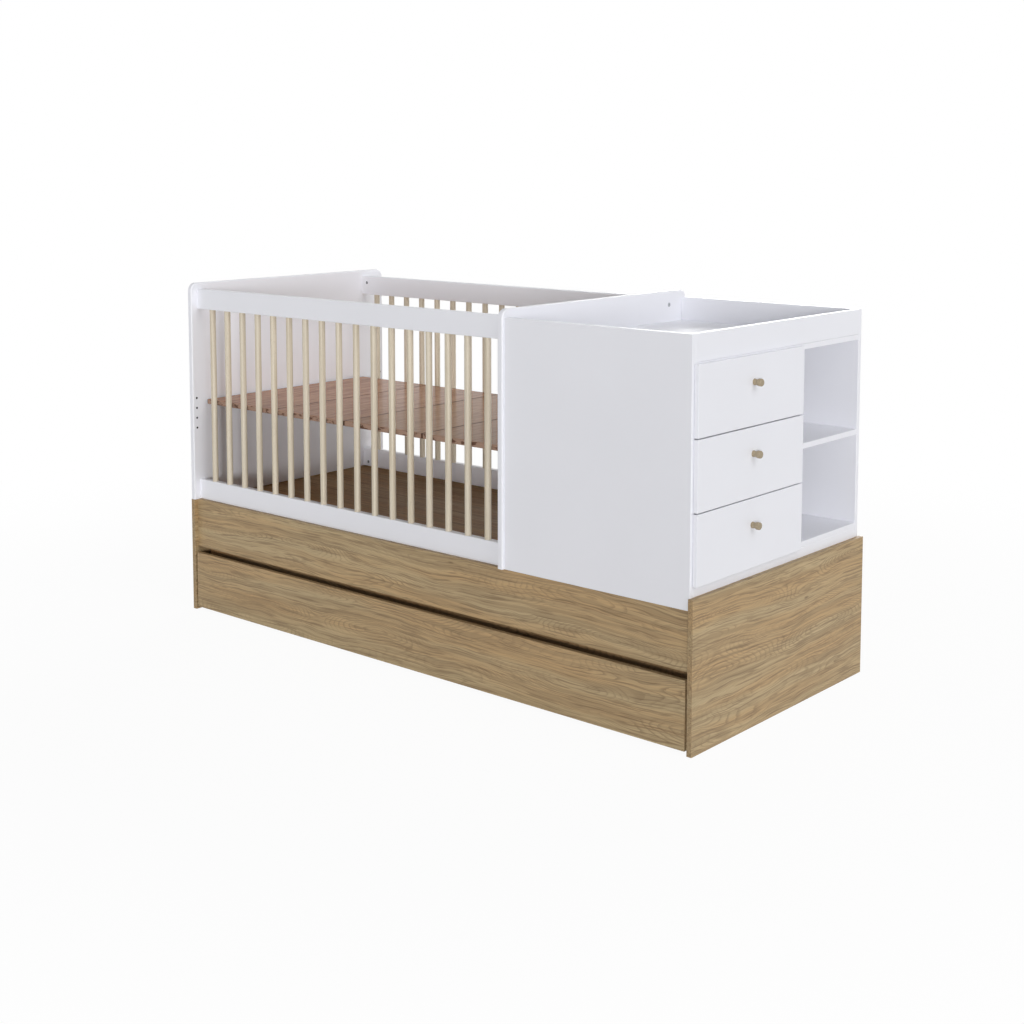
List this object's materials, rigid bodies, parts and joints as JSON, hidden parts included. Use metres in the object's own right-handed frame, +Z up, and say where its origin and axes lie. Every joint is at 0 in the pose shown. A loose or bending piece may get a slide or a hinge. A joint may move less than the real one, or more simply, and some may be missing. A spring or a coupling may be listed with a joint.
{
  "type": "convertible crib",
  "caption": "Convertible crib with dowel sides and an adjustable mattress platform on a wood-look bed base, with a drawer chest with niches and changing top, and a pull-out trundle.",
  "frame": {"origin": "on the floor, in the middle of the whole footprint with the drawer knobs", "axes": "+X along the bed towards the drawer end, +Y from the front (trundle side) to the back, +Z up"},
  "size_m": [1.962, 0.845, 1.057],
  "materials": {
    "white_board": "satin white lacquer on board",
    "oak_board": "light oak-look laminate, matt",
    "beech": "clear-sealed beech",
    "brown_plank": "brown satin-sealed plank",
    "pine": "planed bare pine",
    "hardboard": "white-faced hardboard",
    "drawer_board": "white melamine board",
    "steel": "zinc-plated steel",
    "caster_plastic": "black nylon"
  },
  "bodies": {
    "frame": {"base_left_end": "oak_board", "base_right_end": "oak_board", "base_front_rail": "oak_board", "base_back_panel": "oak_board", "deck_crib_panel": "oak_board", "deck_chest_panel": "oak_board", "deck_cleats": "pine", "deck_bearers": "pine", "crib_left_panel": "white_board", "crib_partition": "white_board", "crib_front_bottom_rail": "white_board", "crib_front_top_rail": "white_board", "crib_back_bottom_rail": "white_board", "crib_back_top_rail": "white_board", "crib_front_dowels": "beech", "crib_back_dowels": "beech", "crib_rail_bolts": "steel", "crib_barrel_nuts": "steel", "chest_front_side": "white_board", "chest_back_side": "white_board", "chest_bottom": "white_board", "chest_changing_top": "white_board", "chest_end_rim": "white_board", "chest_plinth": "white_board", "chest_back_board": "hardboard", "chest_divider": "white_board", "chest_niche_shelf": "white_board", "chest_cabinet_runners": "steel"},
    "mattress_platform": {"platform_planks": "brown_plank", "platform_battens": "brown_plank", "platform_brackets": "steel", "platform_screws": "steel"},
    "drawer_1": {"drawer_1_front": "white_board", "drawer_1_knob": "beech", "drawer_1_sides": "drawer_board", "drawer_1_bottom": "hardboard", "drawer_1_back": "drawer_board", "drawer_1_runners": "steel"},
    "drawer_2": {"drawer_2_front": "white_board", "drawer_2_knob": "beech", "drawer_2_sides": "drawer_board", "drawer_2_bottom": "hardboard", "drawer_2_back": "drawer_board", "drawer_2_runners": "steel"},
    "drawer_3": {"drawer_3_front": "white_board", "drawer_3_knob": "beech", "drawer_3_sides": "drawer_board", "drawer_3_bottom": "hardboard", "drawer_3_back": "drawer_board", "drawer_3_runners": "steel"},
    "trundle": {"trundle_front": "oak_board", "trundle_ends": "oak_board", "trundle_long_walls": "oak_board", "trundle_bottom": "oak_board", "trundle_forks": "steel", "trundle_axles": "steel"},
    "wheel_front_left": {"trundle_wheel_front_left": "caster_plastic"},
    "wheel_front_right": {"trundle_wheel_front_right": "caster_plastic"},
    "wheel_back_left": {"trundle_wheel_back_left": "caster_plastic"},
    "wheel_back_right": {"trundle_wheel_back_right": "caster_plastic"}
  },
  "joints": [
    {"name": "trundle_roll", "type": "slide", "parent": "frame", "child": "trundle", "axis": [0, -1, 0], "range_m": [0, 0.8]},
    {"name": "platform_height", "type": "slide", "parent": "frame", "child": "mattress_platform", "axis": [0, 0, 1], "range_m": [-0.064, 0.032]},
    {"name": "drawer_1_slide", "type": "slide", "parent": "frame", "child": "drawer_1", "axis": [1, 0, 0], "range_m": [0, 0.36]},
    {"name": "drawer_2_slide", "type": "slide", "parent": "frame", "child": "drawer_2", "axis": [1, 0, 0], "range_m": [0, 0.36]},
    {"name": "drawer_3_slide", "type": "slide", "parent": "frame", "child": "drawer_3", "axis": [1, 0, 0], "range_m": [0, 0.36]},
    {"name": "wheel_front_left_spin", "type": "hinge", "parent": "trundle", "child": "wheel_front_left", "pos_m": [-0.826, -0.336, 0.0225], "axis": [1, 0, 0], "continuous": true},
    {"name": "wheel_front_right_spin", "type": "hinge", "parent": "trundle", "child": "wheel_front_right", "pos_m": [0.804, -0.336, 0.0225], "axis": [1, 0, 0], "continuous": true},
    {"name": "wheel_back_left_spin", "type": "hinge", "parent": "trundle", "child": "wheel_back_left", "pos_m": [-0.826, 0.3, 0.0225], "axis": [1, 0, 0], "continuous": true},
    {"name": "wheel_back_right_spin", "type": "hinge", "parent": "trundle", "child": "wheel_back_right", "pos_m": [0.804, 0.3, 0.0225], "axis": [1, 0, 0], "continuous": true}
  ],
  "couplings": [
    {"joint": "wheel_front_left_spin", "follows": "trundle_roll", "rad_per_m": 44.444},
    {"joint": "wheel_front_right_spin", "follows": "trundle_roll", "rad_per_m": 44.444},
    {"joint": "wheel_back_left_spin", "follows": "trundle_roll", "rad_per_m": 44.444},
    {"joint": "wheel_back_right_spin", "follows": "trundle_roll", "rad_per_m": 44.444}
  ]
}
